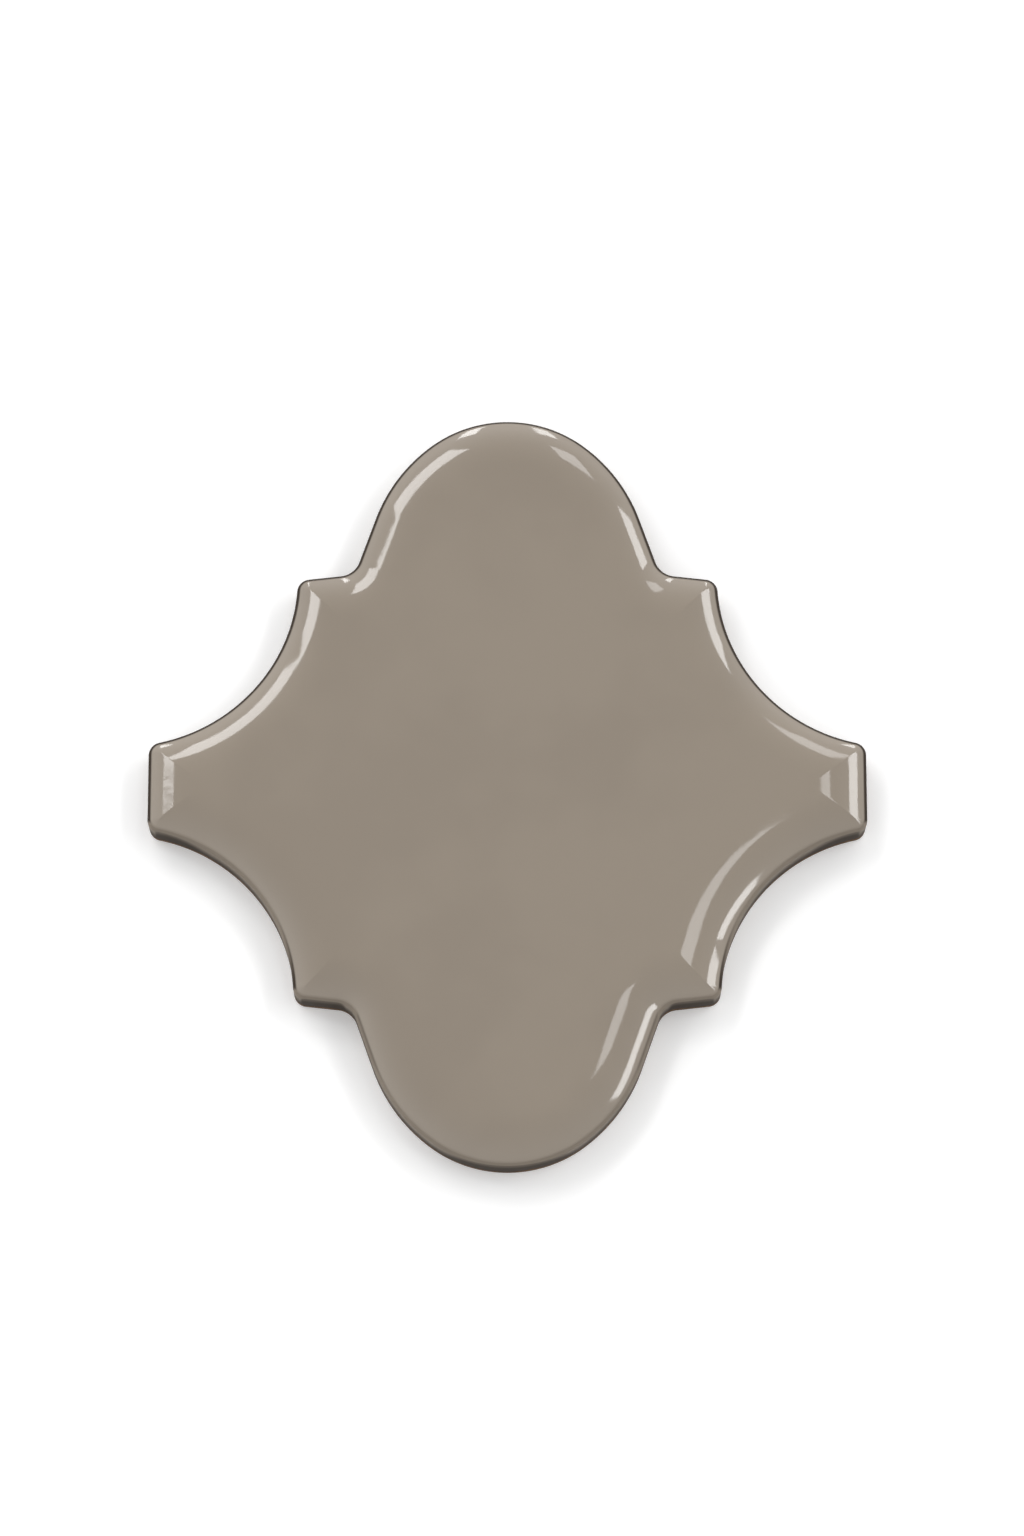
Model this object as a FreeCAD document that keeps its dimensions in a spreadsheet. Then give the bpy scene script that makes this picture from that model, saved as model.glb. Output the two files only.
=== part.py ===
import FreeCAD, Part
import math
import os

import Sketcher

Vector = FreeCAD.Vector

# Driving dimensions in millimetres, angles in degrees.
# The tile lies on its back: +Z is the glazed face, +Y points to one lobe.
# The origin is the middle of the back.
DIMENSIONS = {
    # Outline
    "tile_width": 118.0,          # across the two flat ends
    "tile_height": 126.2,         # from lobe tip to lobe tip
    "end_height": 14.6,           # length of each flat end
    "bowl_radius": 28.5,          # hollow arc between a flat end and a shoulder
    "bowl_beyond_end": 4.3,       # how far outside the flat end the hollow arc is centred
    "shoulder_length": 9.5,       # from the outer corner of a shoulder to its lobe
    "shoulder_fall": 6.3,         # slope of a shoulder, falling away from its lobe
    "lobe_rise": 27.7,            # from the outer corner of a shoulder up to the tip of its lobe
    "flank_length": 12.4,         # straight flank of a plain round lobe, from the shoulder up
    "tip_tightening": 1.6,        # the tip's radius is smaller than that of a plain round lobe by this
    "side_easing": 4.9,           # the radius between tip and flank is larger than that lobe's by this
    "notch_radius": 3.6,          # inner corner between a shoulder and its lobe
    "corner_radius": 2.2,         # outer corners of shoulders and flat ends
    # Section
    "face_height": 8.4,           # back to the flat of the face
    "cushion_width": 8.2,         # band along the edge over which the face bends down
    "cushion_drop": 1.8,          # how far the face has come down where it meets the side wall
    "rim_radius": 1.2,            # roll between the bent face and the side wall
    "foot_bevel": 0.5,            # broken edge round the back
    # Back
    "key_depth": 0.7,             # keying grooves that hold the adhesive
    "key_width": 3.0,
    "key_length": 56.0,
    "key_spacing": 8.0,
    "key_count": 7,
}

# Room for the cutting sections to stand clear of the tile, and how near counts as the same place.
CLEARANCE = 2.0
NEAR = 0.01
# The crest of the cushion stands this far above the flat of the face, so that the two surfaces cross.
CREST_LIFT = 0.02
QUARTER_TURN = 90.0

# How a sketch numbers its axes, its origin and the points of a piece.
X_AXIS, Y_AXIS = range(-1, -3, -1)
ORIGIN = (-1, 1)
START, END, CENTRE = range(1, 4)

# Places that follow from the dimensions, as expressions on the sheet.
BOWL_X = "(dims.tile_width / 2 + dims.bowl_beyond_end)"
BOWL_Y = "(dims.end_height / 2 + sqrt(dims.bowl_radius ^ 2 - dims.bowl_beyond_end ^ 2))"
SHOULDER_Y = "(dims.tile_height / 2 - dims.lobe_rise)"
SHOULDER_X = f"({BOWL_X} - sqrt(dims.bowl_radius ^ 2 - ({BOWL_Y} - {SHOULDER_Y}) ^ 2))"
FALL = "(dims.shoulder_fall * 1 deg)"
NOTCH_X = f"({SHOULDER_X} - dims.shoulder_length * cos({FALL}))"
NOTCH_Y = f"({SHOULDER_Y} + dims.shoulder_length * sin({FALL}))"
# A plain round lobe would touch the tip and both flanks with one radius; that sets the lean of the flanks.
TIP_ABOVE_NOTCH = f"(dims.tile_height / 2 - {NOTCH_Y})"
ROUND_LOBE = f"(({NOTCH_X} ^ 2 + {TIP_ABOVE_NOTCH} ^ 2 - dims.flank_length ^ 2) / (2 * {TIP_ABOVE_NOTCH}))"
LEAN = (f"(90 deg - atan(({TIP_ABOVE_NOTCH} - {ROUND_LOBE}) / {NOTCH_X})"
        f" - atan({ROUND_LOBE} / dims.flank_length))")
TIP_RADIUS = f"({ROUND_LOBE} - dims.tip_tightening)"
SIDE_RADIUS = f"({ROUND_LOBE} + dims.side_easing)"
CUSHION_BEND = "((dims.cushion_width ^ 2 + dims.cushion_drop ^ 2) / (2 * dims.cushion_drop))"
# The hollow arc from a shoulder to a flat end, as angles from the -X direction.
BOWL_FIRST = f"asin(({BOWL_Y} - {SHOULDER_Y}) / dims.bowl_radius)"
BOWL_LAST = "acos(dims.bowl_beyond_end / dims.bowl_radius)"
BOWL_MIDDLE = f"({BOWL_FIRST} + {BOWL_LAST}) / 2"
BOWL_TURN = f"{BOWL_LAST} - {BOWL_FIRST}"
# Axes of the outer corner rounds, and the angles that they turn through.
CORNER_REACH = "(dims.bowl_radius + dims.corner_radius)"
END_CORNER_X = "(dims.tile_width / 2 - dims.corner_radius)"
END_CORNER_IN = "(dims.bowl_beyond_end + dims.corner_radius)"
END_CORNER_Y = f"({BOWL_Y} - sqrt({CORNER_REACH} ^ 2 - {END_CORNER_IN} ^ 2))"
END_CORNER_TURN = f"acos({END_CORNER_IN} / {CORNER_REACH})"
SHOULDER_OFF = (f"(({SHOULDER_X} - {BOWL_X}) * sin({FALL}) + ({SHOULDER_Y} - {BOWL_Y}) * cos({FALL})"
                " - dims.corner_radius)")
SHOULDER_ALONG = f"sqrt({CORNER_REACH} ^ 2 - {SHOULDER_OFF} ^ 2)"
SHOULDER_CORNER_X = f"({BOWL_X} + sin({FALL}) * {SHOULDER_OFF} - cos({FALL}) * {SHOULDER_ALONG})"
SHOULDER_CORNER_Y = f"({BOWL_Y} + cos({FALL}) * {SHOULDER_OFF} + sin({FALL}) * {SHOULDER_ALONG})"
SHOULDER_CORNER_TURN = f"(90 deg + atan({SHOULDER_OFF} / {SHOULDER_ALONG}))"


def make_sheet(doc):
    """The spreadsheet that holds every driving dimension under its own alias."""
    sheet = doc.addObject("Spreadsheet::Sheet", "dims")
    for row, (name, value) in enumerate(DIMENSIONS.items(), start=1):
        sheet.set(f"A{row}", name)
        sheet.set(f"B{row}", str(value))
        sheet.setAlias(f"B{row}", name)
    doc.recompute()
    return sheet


def origin_plane(body, role):
    """One of the body's own origin planes."""
    return next(plane for plane in body.Origin.OriginFeatures if plane.Role == role)


def new_sketch(body, name, role):
    """An empty sketch on one of the body's origin planes."""
    sketch = body.newObject("Sketcher::SketchObject", name)
    sketch.AttachmentSupport = [(origin_plane(body, role), "")]
    sketch.MapMode = "FlatFace"
    return sketch


def new_feature(body, kind, name):
    """A feature of the body that keeps the seams where its cuts meet."""
    feature = body.newObject(f"PartDesign::{kind}", name)
    feature.Refine = False
    return feature


def bind(sketch, name, kind, *arguments):
    """Adds a named driving constraint; the last argument is the expression that sets it."""
    *places, start_value, expression = arguments
    index = sketch.addConstraint(Sketcher.Constraint(kind, *places, start_value))
    sketch.renameConstraint(index, name)
    sketch.setExpression(f"Constraints.{name}", expression)


def arc_through(centre, radius, first, last):
    """The short arc about a centre between two points, and which of its ends is at the first point."""
    circle = Part.Circle(centre, Vector(0, 0, 1), radius)
    start = math.atan2(first.y - centre.y, first.x - centre.x)
    stop = math.atan2(last.y - centre.y, last.x - centre.x)
    counter_clockwise = (stop - start) % (2 * math.pi) < math.pi
    if counter_clockwise:
        return Part.ArcOfCircle(circle, start, stop), START
    return Part.ArcOfCircle(circle, stop, start), END


def quarter_outline(size):
    """Points of the outline in the +X +Y quarter, worked out from the dimensions."""
    end = Vector(size["tile_width"] / 2, size["end_height"] / 2, 0)
    beyond = size["bowl_beyond_end"]
    bowl = size["bowl_radius"]
    bowl_centre = end + Vector(beyond, math.sqrt(bowl**2 - beyond**2), 0)
    shoulder_y = size["tile_height"] / 2 - size["lobe_rise"]
    shoulder_x = bowl_centre.x - math.sqrt(bowl**2 - (bowl_centre.y - shoulder_y) ** 2)
    shoulder = Vector(shoulder_x, shoulder_y, 0)

    fall = math.radians(size["shoulder_fall"])
    outward = Vector(math.cos(fall), -math.sin(fall), 0)
    notch = shoulder - outward * size["shoulder_length"]

    flank = size["flank_length"]
    rise = size["tile_height"] / 2 - notch.y
    round_lobe = (notch.x**2 + rise**2 - flank**2) / (2 * rise)
    lean = math.pi / 2 - math.atan((rise - round_lobe) / notch.x) - math.atan(round_lobe / flank)
    upward = Vector(-math.sin(lean), math.cos(lean), 0)
    half_angle = (math.pi / 2 + lean + fall) / 2
    setback = size["notch_radius"] / math.tan(half_angle)
    notch_low = notch + outward * setback
    notch_high = notch + upward * setback
    notch_centre = notch_low + Vector(math.sin(fall), math.cos(fall), 0) * size["notch_radius"]

    tip_radius = round_lobe - size["tip_tightening"]
    side_radius = round_lobe + size["side_easing"]
    tip_centre = Vector(0, size["tile_height"] / 2 - tip_radius, 0)
    inward = Vector(-math.cos(lean), -math.sin(lean), 0)
    tip_to_flank = (tip_centre - notch).dot(inward)
    turn = math.acos((side_radius - tip_to_flank) / (side_radius - tip_radius))
    join_angle = lean + turn
    join_direction = Vector(math.cos(join_angle), math.sin(join_angle), 0)
    side_centre = tip_centre - join_direction * (side_radius - tip_radius)
    return {
        "end": end,
        "bowl_centre": bowl_centre,
        "shoulder": shoulder,
        "shoulder_direction": outward,
        "flank_direction": upward,
        "notch": notch,
        "notch_low": notch_low,
        "notch_high": notch_high,
        "notch_centre": notch_centre,
        "flank_high": side_centre - inward * side_radius,
        "side_centre": side_centre,
        "lobe_join": tip_centre + join_direction * tip_radius,
        "tip_centre": tip_centre,
        "tip": Vector(0, size["tile_height"] / 2, 0),
        "tip_radius": tip_radius,
        "side_radius": side_radius,
    }


def chain_of(points, size):
    """The pieces from a flat end to the tip of a lobe: kind, from, to, centre, radius."""
    return [
        ("bowl", points["end"], points["shoulder"], points["bowl_centre"], size["bowl_radius"]),
        ("shoulder", points["shoulder"], points["notch_low"], None, None),
        ("notch", points["notch_low"], points["notch_high"], points["notch_centre"], size["notch_radius"]),
        ("flank", points["notch_high"], points["flank_high"], None, None),
        ("side", points["flank_high"], points["lobe_join"], points["side_centre"], points["side_radius"]),
    ]


def add_piece(sketch, first, last, centre, radius):
    """Adds one line or arc; returns its index and the ends that lie at the first and the last point."""
    if centre is None:
        return sketch.addGeometry(Part.LineSegment(first, last), False), START, END
    arc, first_end = arc_through(centre, radius, first, last)
    return sketch.addGeometry(arc, False), first_end, START + END - first_end


def constrain_lobe(sketch, piece, tip, tip_end, points, size):
    """Sizes of one shoulder, notch and lobe flank, which the outline and the sweep path share."""
    for before, after in (("shoulder", "notch"), ("notch", "flank"), ("flank", "side")):
        sketch.addConstraint(Sketcher.Constraint(
            "Tangent", piece[before][0], piece[before][2], piece[after][0], piece[after][1]))
    sketch.addConstraint(Sketcher.Constraint("Tangent", piece["side"][0], piece["side"][2], tip, tip_end))
    bind(sketch, "shoulder_angle", "Angle", piece["shoulder"][0],
         math.pi - math.radians(size["shoulder_fall"]), f"180 deg - {FALL}")
    upward = points["flank_direction"]
    bind(sketch, "flank_angle", "Angle", piece["flank"][0],
         math.atan2(upward.y, upward.x), f"90 deg + {LEAN}")
    bind(sketch, "notch_size", "Radius", piece["notch"][0], size["notch_radius"], "dims.notch_radius")
    bind(sketch, "side_size", "Radius", piece["side"][0], points["side_radius"], SIDE_RADIUS)
    bind(sketch, "tip_size", "Radius", tip, points["tip_radius"], TIP_RADIUS)
    bind(sketch, "tip_place", "DistanceY", *ORIGIN, tip, CENTRE,
         points["tip_centre"].y, f"dims.tile_height / 2 - {TIP_RADIUS}")
    corner = sketch.addGeometry(Part.Point(points["notch"]), True)
    sketch.addConstraint(Sketcher.Constraint("PointOnObject", corner, START, piece["shoulder"][0]))
    sketch.addConstraint(Sketcher.Constraint("PointOnObject", corner, START, piece["flank"][0]))
    bind(sketch, "notch_place", "DistanceX", *ORIGIN, corner, START, points["notch"].x, NOTCH_X)


def draw_outline(body, size):
    """The closed outline: one quarter carries the sizes, the other three are tied to it by symmetry."""
    sketch = new_sketch(body, "outline", "XY_Plane")
    points = quarter_outline(size)
    quarters = {}
    for side_x, side_y in ((1, 1), (-1, 1), (-1, -1), (1, -1)):
        def flip(point):
            return None if point is None else Vector(point.x * side_x, point.y * side_y, 0)

        quarters[side_x, side_y] = {
            kind: add_piece(sketch, flip(first), flip(last), flip(centre), radius)
            for kind, first, last, centre, radius in chain_of(points, size)
        }

    tips = {}
    for side_y in (1, -1):
        right = Vector(points["lobe_join"].x, points["lobe_join"].y * side_y, 0)
        left = Vector(-right.x, right.y, 0)
        tips[side_y] = add_piece(sketch, right, left, points["tip_centre"] * side_y, points["tip_radius"])
    ends = {}
    for side_x in (1, -1):
        low = Vector(points["end"].x * side_x, -points["end"].y, 0)
        high = Vector(points["end"].x * side_x, points["end"].y, 0)
        ends[side_x] = add_piece(sketch, low, high, None, None)

    master = quarters[1, 1]
    end = ends[1][0]
    sketch.addConstraint(Sketcher.Constraint("Symmetric", end, START, end, END, X_AXIS))
    bind(sketch, "half_width", "DistanceX", *ORIGIN, end, END, points["end"].x, "dims.tile_width / 2")
    bind(sketch, "end_height", "DistanceY", end, START, end, END, size["end_height"], "dims.end_height")
    bowl, bowl_first, bowl_last = master["bowl"]
    sketch.addConstraint(Sketcher.Constraint("Coincident", end, END, bowl, bowl_first))
    bind(sketch, "bowl_size", "Radius", bowl, size["bowl_radius"], "dims.bowl_radius")
    bind(sketch, "bowl_place", "DistanceX", *ORIGIN, bowl, CENTRE,
         points["bowl_centre"].x, BOWL_X)
    bind(sketch, "shoulder_place", "DistanceY", *ORIGIN, bowl, bowl_last,
         points["shoulder"].y, SHOULDER_Y)
    sketch.addConstraint(Sketcher.Constraint(
        "Coincident", bowl, bowl_last, master["shoulder"][0], master["shoulder"][1]))
    tip, tip_first, _ = tips[1]
    constrain_lobe(sketch, master, tip, tip_first, points, size)

    tie_mirrored_quarters(sketch, quarters, tips, ends)
    return sketch


def tie_mirrored_quarters(sketch, quarters, tips, ends):
    """Ties the three other quarters, the lower lobe tip and the left end to the first quarter."""
    chain = list(quarters[1, 1])
    for (side_x, side_y), partner, axis in (
        ((-1, 1), (1, 1), Y_AXIS),
        ((1, -1), (1, 1), X_AXIS),
        ((-1, -1), (-1, 1), X_AXIS),
    ):
        quarter = quarters[side_x, side_y]
        for kind in chain:
            piece, first, last = quarter[kind]
            twin, twin_first, twin_last = quarters[partner][kind]
            if kind == "bowl" and side_x < 0:
                sketch.addConstraint(Sketcher.Constraint("Symmetric", twin, twin_first, piece, first, axis))
            sketch.addConstraint(Sketcher.Constraint("Symmetric", twin, twin_last, piece, last, axis))
            if kind in ("bowl", "notch", "side"):
                sketch.addConstraint(Sketcher.Constraint("Equal", twin, piece))
        for before, after in zip(chain, chain[1:]):
            sketch.addConstraint(Sketcher.Constraint(
                "Coincident", quarter[before][0], quarter[before][2], quarter[after][0], quarter[after][1]))
    upper, _, upper_last = tips[1]
    lower, lower_first, lower_last = tips[-1]
    side = quarters[-1, 1]["side"]
    sketch.addConstraint(Sketcher.Constraint("Coincident", upper, upper_last, side[0], side[2]))
    for side_x, tip_end in ((1, lower_first), (-1, lower_last)):
        side = quarters[side_x, -1]["side"]
        sketch.addConstraint(Sketcher.Constraint("Coincident", lower, tip_end, side[0], side[2]))
    sketch.addConstraint(Sketcher.Constraint("Equal", upper, lower))
    right = quarters[1, -1]["bowl"]
    sketch.addConstraint(Sketcher.Constraint("Coincident", ends[1][0], START, right[0], right[1]))
    for side_y, line_end in ((1, END), (-1, START)):
        left = quarters[-1, side_y]["bowl"]
        sketch.addConstraint(Sketcher.Constraint("Coincident", ends[-1][0], line_end, left[0], left[1]))


def draw_cushion_section(body, name, role, edge, edge_expression, inward, size, to_axis=False):
    """The section cut away along an edge: an arc that leaves the flat face level and falls to the wall.

    A section that turns about an outer corner starts at the axis of the corner, where the arc already falls.
    """
    sketch = new_sketch(body, name, role)
    width = size["cushion_width"]
    drop = size["cushion_drop"]
    top = size["face_height"]
    radius = (width**2 + drop**2) / (2 * drop)
    centre = Vector(edge + inward * width, top + CREST_LIFT - radius, 0)

    def on_arc(x):
        return Vector(x, centre.y + math.sqrt(radius**2 - (x - centre.x) ** 2), 0)

    inner = on_arc(0) if to_axis else on_arc(centre.x)
    outer = on_arc(edge - inward * CLEARANCE)
    above_inner = Vector(inner.x, top + CLEARANCE, 0)
    above_outer = Vector(outer.x, top + CLEARANCE, 0)

    arc, arc_inner, arc_outer = add_piece(sketch, inner, outer, centre, radius)
    outer_line, *_ = add_piece(sketch, outer, above_outer, None, None)
    top_line, *_ = add_piece(sketch, above_outer, above_inner, None, None)
    inner_line, *_ = add_piece(sketch, above_inner, inner, None, None)
    sketch.addConstraint(Sketcher.Constraint("Coincident", arc, arc_outer, outer_line, START))
    sketch.addConstraint(Sketcher.Constraint("Coincident", outer_line, END, top_line, START))
    sketch.addConstraint(Sketcher.Constraint("Coincident", top_line, END, inner_line, START))
    sketch.addConstraint(Sketcher.Constraint("Coincident", inner_line, END, arc, arc_inner))
    sketch.addConstraint(Sketcher.Constraint("Vertical", outer_line))
    sketch.addConstraint(Sketcher.Constraint("Horizontal", top_line))
    sketch.addConstraint(Sketcher.Constraint("Vertical", inner_line))
    if to_axis:
        sketch.addConstraint(Sketcher.Constraint("PointOnObject", arc, arc_inner, Y_AXIS))
    else:
        sketch.addConstraint(Sketcher.Constraint("Vertical", arc, CENTRE, arc, arc_inner))
    sign = "+" if inward > 0 else "-"
    counter_sign = "-" if inward > 0 else "+"
    bind(sketch, "crest_place", "DistanceX", *ORIGIN, arc, CENTRE,
         centre.x, f"{edge_expression} {sign} dims.cushion_width")
    bind(sketch, "bend_place", "DistanceY", *ORIGIN, arc, CENTRE,
         centre.y, f"dims.face_height + {CREST_LIFT} - {CUSHION_BEND}")
    bind(sketch, "cushion_bend", "Radius", arc, radius, CUSHION_BEND)
    bind(sketch, "outer_place", "DistanceX", *ORIGIN, outer_line, END,
         outer.x, f"{edge_expression} {counter_sign} {CLEARANCE}")
    bind(sketch, "section_top", "DistanceY", *ORIGIN, top_line, END,
         top + CLEARANCE, f"dims.face_height + {CLEARANCE}")
    return sketch


def draw_lobe_path(body, size):
    """The path of the lobe's cushion: from the tip round the flank and notch, out past the shoulder."""
    sketch = new_sketch(body, "lobe_path", "XY_Plane")
    points = quarter_outline(size)
    run_out = points["shoulder"] + points["shoulder_direction"] * size["cushion_width"]
    piece = {
        kind: add_piece(sketch, run_out if kind == "shoulder" else first, last, centre, radius)
        for kind, first, last, centre, radius in chain_of(points, size)[1:]
    }
    tip, tip_first, tip_last = add_piece(
        sketch, points["lobe_join"], points["tip"], points["tip_centre"], points["tip_radius"])
    constrain_lobe(sketch, piece, tip, tip_first, points, size)
    sketch.addConstraint(Sketcher.Constraint("PointOnObject", tip, CENTRE, Y_AXIS))
    sketch.addConstraint(Sketcher.Constraint("PointOnObject", tip, tip_last, Y_AXIS))
    shoulder, shoulder_first, _ = piece["shoulder"]
    corner = sketch.addGeometry(Part.Point(points["shoulder"]), True)
    sketch.addConstraint(Sketcher.Constraint("PointOnObject", corner, START, shoulder))
    bind(sketch, "shoulder_place", "DistanceY", *ORIGIN, corner, START,
         points["shoulder"].y, SHOULDER_Y)
    bind(sketch, "shoulder_corner", "DistanceX", *ORIGIN, corner, START, points["shoulder"].x, SHOULDER_X)
    bind(sketch, "run_out", "Distance", corner, START, shoulder, shoulder_first,
         size["cushion_width"], "dims.cushion_width")
    return sketch


def mirror_both_ways(body, feature, name):
    """Repeats a feature in the other three quarters."""
    repeat = new_feature(body, "MultiTransform", name)
    repeat.Originals = [feature]
    mirrors = []
    for role in ("YZ_Plane", "XZ_Plane"):
        mirror = new_feature(body, "Mirrored", f"{name}_{role[:2].lower()}")
        mirror.MirrorPlane = (origin_plane(body, role), [""])
        mirrors.append(mirror)
    repeat.Transformations = mirrors
    body.Tip = repeat
    return repeat


def edge_names(shape, chosen):
    """Names of the edges of a shape for which a test holds."""
    return [f"Edge{index}" for index, edge in enumerate(shape.Edges, start=1) if chosen(edge)]


def is_upright(face):
    """Whether a face stands upright at its middle."""
    u_low, u_high, v_low, v_high = face.ParameterRange
    return abs(face.normalAt((u_low + u_high) / 2, (v_low + v_high) / 2).z) < NEAR


def make_blank(doc, body, size):
    """The outline at full height, with its outer corners rounded."""
    blank = new_feature(body, "Pad", "blank")
    blank.Profile = draw_outline(body, size)
    blank.setExpression("Length", "dims.face_height")
    doc.recompute()

    points = quarter_outline(size)

    def is_outer_corner(edge):
        upright = abs(edge.tangentAt(edge.FirstParameter).z) > 1 - NEAR
        foot = edge.Vertexes[0].Point
        place = Vector(abs(foot.x), abs(foot.y), 0)
        return upright and any(place.isEqual(points[corner], NEAR) for corner in ("end", "shoulder"))

    rounds = new_feature(body, "Fillet", "corner_rounds")
    rounds.Base = (blank, edge_names(blank.Shape, is_outer_corner))
    rounds.setExpression("Radius", "dims.corner_radius")
    body.Tip = rounds
    doc.recompute()


def turn_section(doc, body, name, section, place, middle, angle):
    """Turns a cushion section about an upright axis, and repeats the cut in the other quarters."""
    place_x, place_y = place
    section.AttachmentOffset = FreeCAD.Placement(Vector(), FreeCAD.Rotation(Vector(0, 1, 0), QUARTER_TURN))
    section.setExpression("AttachmentOffset.Base.x", place_x)
    section.setExpression("AttachmentOffset.Base.z", f"-{place_y}")
    section.setExpression("AttachmentOffset.Rotation.Angle", middle)
    cushion = new_feature(body, "Groove", f"{name}_cushion")
    cushion.Profile = section
    cushion.ReferenceAxis = (section, ["V_Axis"])
    cushion.setExpression("Angle", angle)
    cushion.Midplane = True
    doc.recompute()
    mirror_both_ways(body, cushion, f"{name}_cushions")
    doc.recompute()


def turn_corner(doc, body, name, place, middle, angle, size):
    """Carries the cushion round one outer corner, at the same distances from the rounded wall."""
    section = draw_cushion_section(
        body, f"{name}_section", "XZ_Plane", size["corner_radius"], "dims.corner_radius", -1, size,
        to_axis=True)
    turn_section(doc, body, name, section, place, middle, angle)


def bend_face_down(doc, body, size):
    """The cushioned band: one section cuts every stretch of edge, so the corners come out mitred."""
    bowl_section = draw_cushion_section(
        body, "bowl_section", "XZ_Plane", -size["bowl_radius"], "-dims.bowl_radius", -1, size)
    turn_section(doc, body, "bowl", bowl_section, (BOWL_X, BOWL_Y), BOWL_MIDDLE, BOWL_TURN)

    end_section = draw_cushion_section(
        body, "end_section", "XZ_Plane", size["tile_width"] / 2, "dims.tile_width / 2", -1, size)
    end_cushion = new_feature(body, "Pocket", "end_cushion")
    end_cushion.Profile = end_section
    end_cushion.Type = "ThroughAll"
    end_cushion.Midplane = True
    doc.recompute()
    mirror_both_ways(body, end_cushion, "end_cushions")
    doc.recompute()

    lobe_section = draw_cushion_section(
        body, "lobe_section", "YZ_Plane", size["tile_height"] / 2, "dims.tile_height / 2", -1, size)
    lobe_path = draw_lobe_path(body, size)
    doc.recompute()
    lobe_cushion = new_feature(body, "SubtractivePipe", "lobe_cushion")
    lobe_cushion.Profile = lobe_section
    lobe_cushion.Spine = lobe_path
    lobe_cushion.Mode = "Binormal"
    lobe_cushion.Binormal = Vector(0, 0, 1)
    doc.recompute()
    mirror_both_ways(body, lobe_cushion, "lobe_cushions")
    doc.recompute()

    turn_corner(doc, body, "end_corner", (END_CORNER_X, END_CORNER_Y),
                f"{END_CORNER_TURN} / 2", END_CORNER_TURN, size)
    turn_corner(doc, body, "shoulder_corner", (SHOULDER_CORNER_X, SHOULDER_CORNER_Y),
                f"90 deg - {FALL} - {SHOULDER_CORNER_TURN} / 2", SHOULDER_CORNER_TURN, size)


def soften_edges(doc, body):
    """The roll between face and wall, and the broken edge round the back."""
    shape = body.Tip.Shape

    def meets_one_wall(edge):
        faces = shape.ancestorsOfType(edge, Part.Face)
        return [is_upright(face) for face in faces].count(True) == 1

    rim = new_feature(body, "Fillet", "rim_roll")
    rim.Base = (rim.BaseFeature, edge_names(
        shape, lambda edge: edge.BoundBox.ZMin > 0 and meets_one_wall(edge)))
    rim.setExpression("Radius", "dims.rim_radius")
    body.Tip = rim
    doc.recompute()

    foot = new_feature(body, "Chamfer", "foot_bevel")
    foot.Base = (rim, edge_names(rim.Shape, lambda edge: edge.BoundBox.ZMax < NEAR))
    foot.setExpression("Size", "dims.foot_bevel")
    body.Tip = foot
    doc.recompute()


def cut_keys(doc, body, size):
    """Round-ended grooves across the back, evenly spaced about its middle."""
    sketch = new_sketch(body, "key_outline", "XY_Plane")
    radius = size["key_width"] / 2
    reach = size["key_length"] / 2 - radius
    row = -size["key_spacing"] * (size["key_count"] - 1) / 2
    low = sketch.addGeometry(Part.LineSegment(
        Vector(-reach, row - radius, 0), Vector(reach, row - radius, 0)), False)
    high = sketch.addGeometry(Part.LineSegment(
        Vector(reach, row + radius, 0), Vector(-reach, row + radius, 0)), False)
    half_turn = math.pi / 2
    right = sketch.addGeometry(Part.ArcOfCircle(
        Part.Circle(Vector(reach, row, 0), Vector(0, 0, 1), radius), -half_turn, half_turn), False)
    left = sketch.addGeometry(Part.ArcOfCircle(
        Part.Circle(Vector(-reach, row, 0), Vector(0, 0, 1), radius), half_turn, 3 * half_turn), False)
    sketch.addConstraint(Sketcher.Constraint("Tangent", low, END, right, START))
    sketch.addConstraint(Sketcher.Constraint("Tangent", right, END, high, START))
    sketch.addConstraint(Sketcher.Constraint("Tangent", high, END, left, START))
    sketch.addConstraint(Sketcher.Constraint("Tangent", left, END, low, START))
    sketch.addConstraint(Sketcher.Constraint("Symmetric", left, CENTRE, right, CENTRE, Y_AXIS))
    bind(sketch, "key_size", "Radius", right, radius, "dims.key_width / 2")
    bind(sketch, "key_run", "DistanceX", left, CENTRE, right, CENTRE,
         2 * reach, "dims.key_length - dims.key_width")
    bind(sketch, "first_row", "DistanceY", *ORIGIN, right, CENTRE,
         row, "-dims.key_spacing * (dims.key_count - 1) / 2")
    key = new_feature(body, "Pocket", "key")
    key.Profile = sketch
    key.setExpression("Length", "dims.key_depth")
    key.Reversed = True
    doc.recompute()

    keys = new_feature(body, "LinearPattern", "keys")
    keys.Originals = [key]
    keys.Direction = (sketch, ["V_Axis"])
    keys.setExpression("Length", "dims.key_spacing * (dims.key_count - 1)")
    keys.setExpression("Occurrences", "dims.key_count")
    body.Tip = keys
    doc.recompute()


def build_tile(doc, size):
    """The whole tile: one pressed and glazed piece."""
    body = doc.addObject("PartDesign::Body", "tile")
    body.Label = "tile"
    make_blank(doc, body, size)
    bend_face_down(doc, body, size)
    soften_edges(doc, body)
    cut_keys(doc, body, size)
    return body


def main():
    doc = FreeCAD.newDocument("arabesque_tile")
    make_sheet(doc)
    body = build_tile(doc, DIMENSIONS)
    doc.recompute()
    for item in doc.Objects:
        if "Invalid" in item.State or "Error" in item.State:
            raise RuntimeError(f"{item.Name} failed: {item.State}")
    shape = body.Shape
    if shape.isNull() or not shape.isValid():
        raise RuntimeError("the tile has no valid shape")
    os.makedirs("parts", exist_ok=True)
    shape.exportStep(f"parts/{body.Label}.step")


main()
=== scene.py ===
import math

import bmesh
import bpy
from mathutils import Matrix, Vector


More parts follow.
